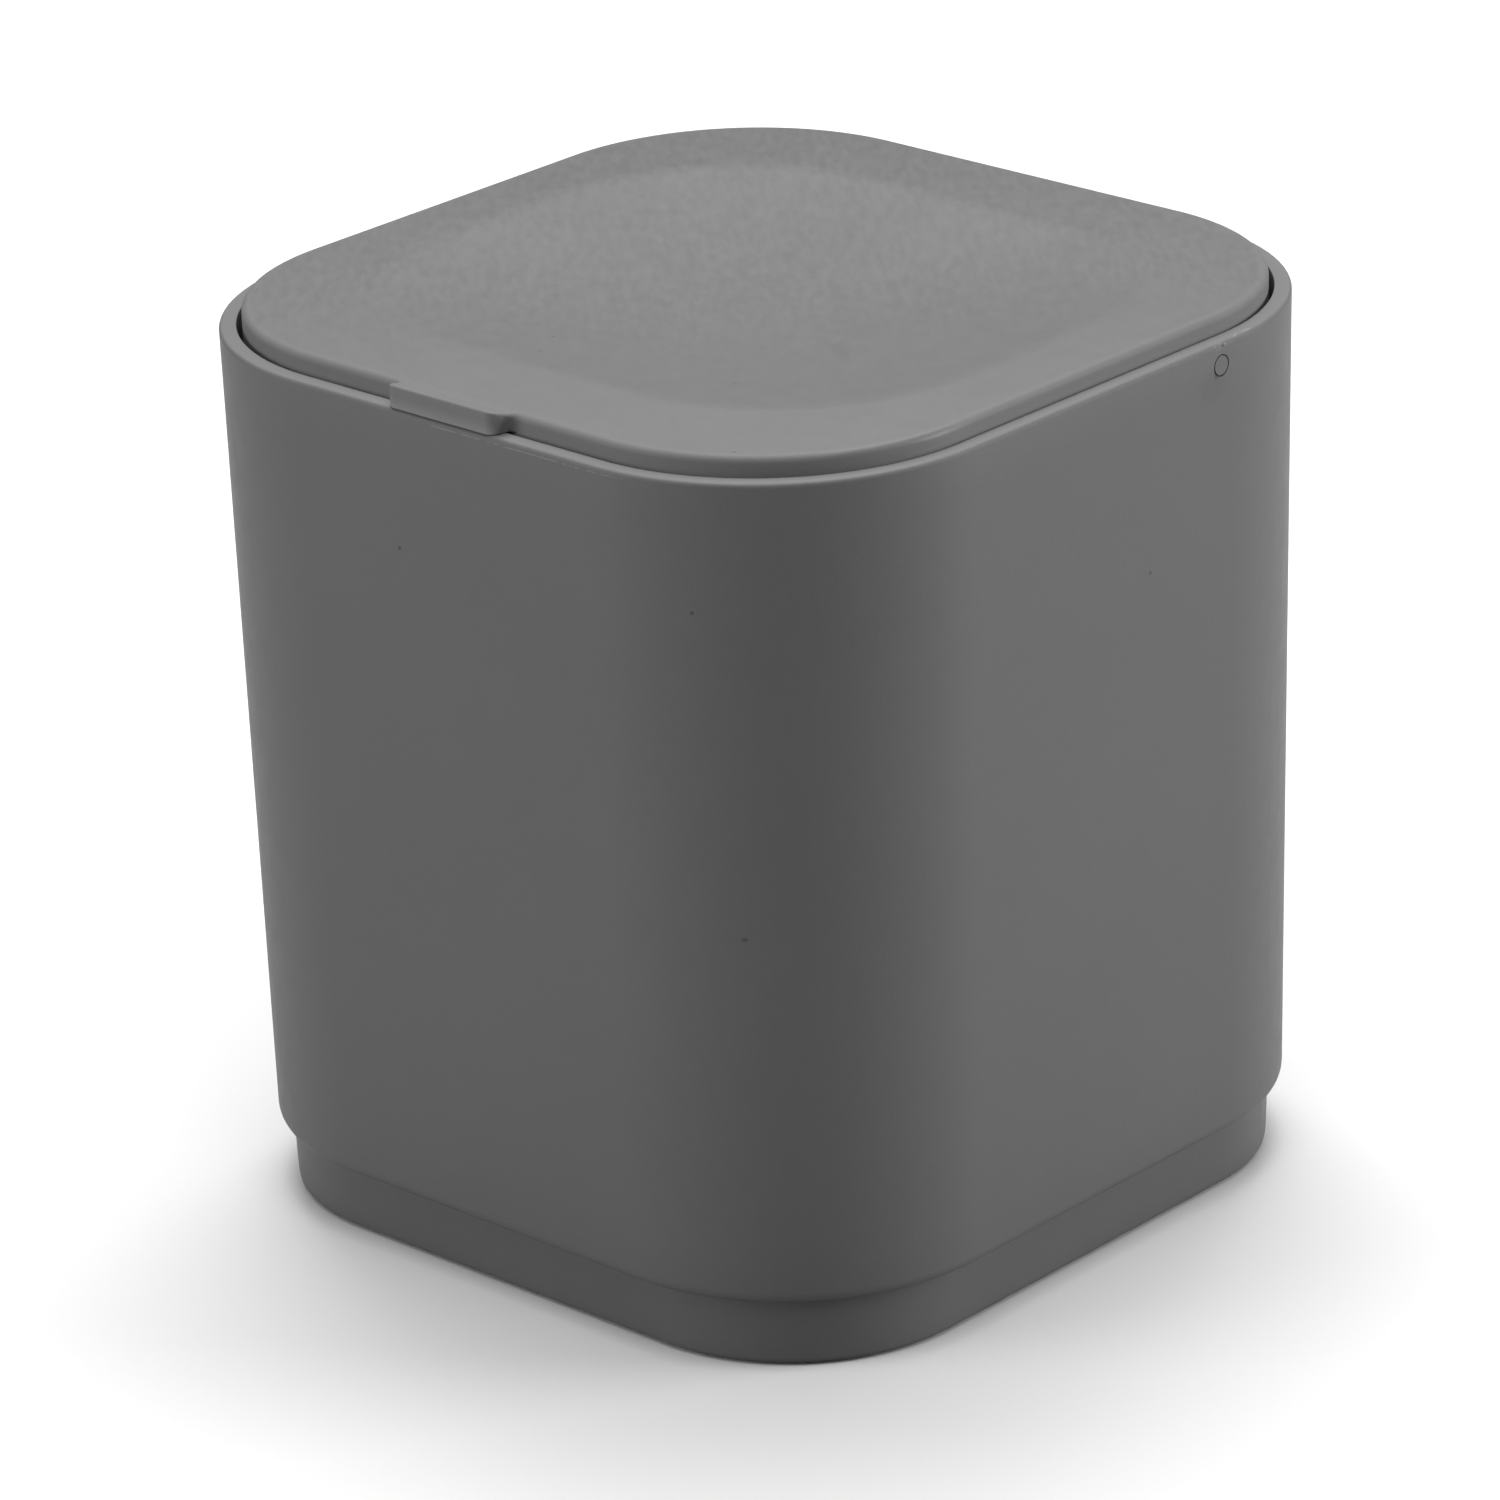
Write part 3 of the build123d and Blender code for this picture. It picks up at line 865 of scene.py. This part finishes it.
def lidMarks(finish, colour, roughness, height):
    # The turned edge is duller than the top, but polished just right of the front corner
    inset = finish.inset(lid["halfWidth"], lidHalfY, lid["corner"])
    dulled = 1 - inset.rise(*lidLook["edgeDulled"])
    polished = (1 - inset.rise(*lidLook["edgePolished"])) * finish.spots([lidPolish])
    specks, patch = finish.spots(lidSpecks), finish.spots([lidPatch])
    colour = finish.mix(patch, colour, grey(lidLook["tone"] * lidLook["patchTone"]))
    colour = finish.mix(specks, colour, grey(lidLook["tone"] * lidLook["speckTone"]))
    roughness = roughness + dulled * lidLook["edgeDulling"] - polished
    return colour, roughness, height - specks * lidLook["speckDepth"]


def lidPaintedLight(finish):
    # Painted light: outside the dish the plastic is painted a little lighter at the front right and darker
    # at the rear left, and towards the foot of the skirt it is painted lighter again
    blend = lidLook["borderBlend"]
    outside = 1 - finish.inset(*lid["dishHalf"], lid["dishCorner"]).rise(-blend, blend)
    skirt = 1 - (finish.z / mm).rise(rimHeight - lidLook["skirtFrom"], lidTop - lidLook["skirtTo"])
    return ((finish.x - finish.y) / mm * lidLook["paintedBorderLight"] + skirt * lidLook["paintedSkirtLight"]) * outside


lidPlastic = mouldedPlastic("lid plastic", lidLook, lidMarks, lidPaintedLight)
lidPiece = meshObject("binLid", *poledSurface(lidRings()))
drilled(lidPiece, [skirtHole(-1), skirtHole(1)])
addIslands(lidPiece, [bossShape(-1), bossShape(1)])
finishPiece(lidPiece, "lid", "lid", lidPlastic)

# Camera, floor and lights

# Fitted to the photograph: angles in degrees, lens and sensor in millimetres, places in metres
view = {
    "azimuth": 42.796, "elevation": 22.265, "roll": -1.907, "distance": 1.271091,
    "target": (0.006532, -0.012099, 0.080), "lens": 182.35, "sensor": 36.0, "clipEnd": 20,
}


def placeCamera():
    # Looks at the target from the azimuth (from the front, towards +X) and elevation, then rolls
    azimuth, elevation, roll = (math.radians(view[key]) for key in ("azimuth", "elevation", "roll"))
    back = Vector((math.sin(azimuth) * math.cos(elevation), -math.cos(azimuth) * math.cos(elevation),
                   math.sin(elevation)))
    right = Vector((math.cos(azimuth), math.sin(azimuth), 0))
    up = back.cross(right)
    tiltedRight = right * math.cos(roll) + up * math.sin(roll)
    tiltedUp = up * math.cos(roll) - right * math.sin(roll)
    lens = bpy.data.cameras.new("photoCamera")
    lens.lens = view["lens"]
    lens.sensor_width = view["sensor"]
    lens.clip_end = view["clipEnd"]
    camera = bpy.data.objects.new("photoCamera", lens)
    bpy.context.scene.collection.objects.link(camera)
    turn = Matrix((tiltedRight, tiltedUp, back)).transposed().to_4x4()
    camera.matrix_world = Matrix.Translation(Vector(view["target"]) + back * view["distance"]) @ turn
    bpy.context.scene.camera = camera


studio = {
    "floorSize": 8.0, "floorTone": 0.43, "floorTooth": 0.01, "toothSize": 1.5, "toothDepth": 0.005,
    "floorRoughness": 0.9, "toothRough": 0.05, "floorSpecular": 0.1, "world": 0.15, "aim": (0, 0, 0.08),
    "lamps": {
        "overhead": {"place": (0.0, 0.0, 1.7), "size": 1.6, "power": 10.1},
        "rearTop": {"place": (-0.45, 0.49, 1.6), "size": 1.2, "power": 50.8},
        "frontTop": {"place": (0.45, -0.49, 1.6), "size": 1.2, "power": 22.1},
        "frontLeft": {"place": (-0.847, -1.293, 0.414), "size": 0.8, "power": 20.4},
        "right": {"place": (1.16, 1.021, 0.414), "size": 0.8, "power": 35.3},
    },
}


def softBox(name, setting):
    # A square area light that faces the bin
    lamp = bpy.data.lights.new(name + "Softbox", "AREA")
    lamp.shape = "SQUARE"
    lamp.size = setting["size"]
    lamp.energy = setting["power"]
    holder = bpy.data.objects.new(name + "Softbox", lamp)
    bpy.context.scene.collection.objects.link(holder)
    place = Vector(setting["place"])
    aim = Vector(studio["aim"]) - place
    holder.matrix_world = Matrix.Translation(place) @ aim.to_track_quat("-Z", "Y").to_matrix().to_4x4()


def buildStudio():
    half = studio["floorSize"] / 2 / mm
    corners = np.array([(-half, -half, 0), (half, -half, 0), (half, half, 0), (-half, half, 0)])
    floor = meshObject("studioFloor", corners, [[0, 1, 2, 3]])
    finish = Finish("floor paper")
    tooth, floorTone = finish.noise(studio["toothSize"]), studio["floorTone"]
    tone = finish.mix(tooth, grey(floorTone * (1 - studio["floorTooth"])), grey(floorTone))
    roughness = studio["floorRoughness"] + tooth * studio["toothRough"]
    paper = finish.close(tone, roughness, tooth, studio["toothDepth"], studio["floorSpecular"])
    floor.data.materials.append(paper)
    for name, setting in studio["lamps"].items():
        softBox(name, setting)
    world = bpy.data.worlds.new("studioWorld")
    bpy.context.scene.world = world
    world.use_nodes = True
    backdrop = world.node_tree.nodes["Background"]
    backdrop.inputs["Color"].default_value = grey(1.0)
    backdrop.inputs["Strength"].default_value = studio["world"]
    bpy.context.scene.view_settings.view_transform = "Standard"


placeCamera()
buildStudio()
print("camera and studio are set")
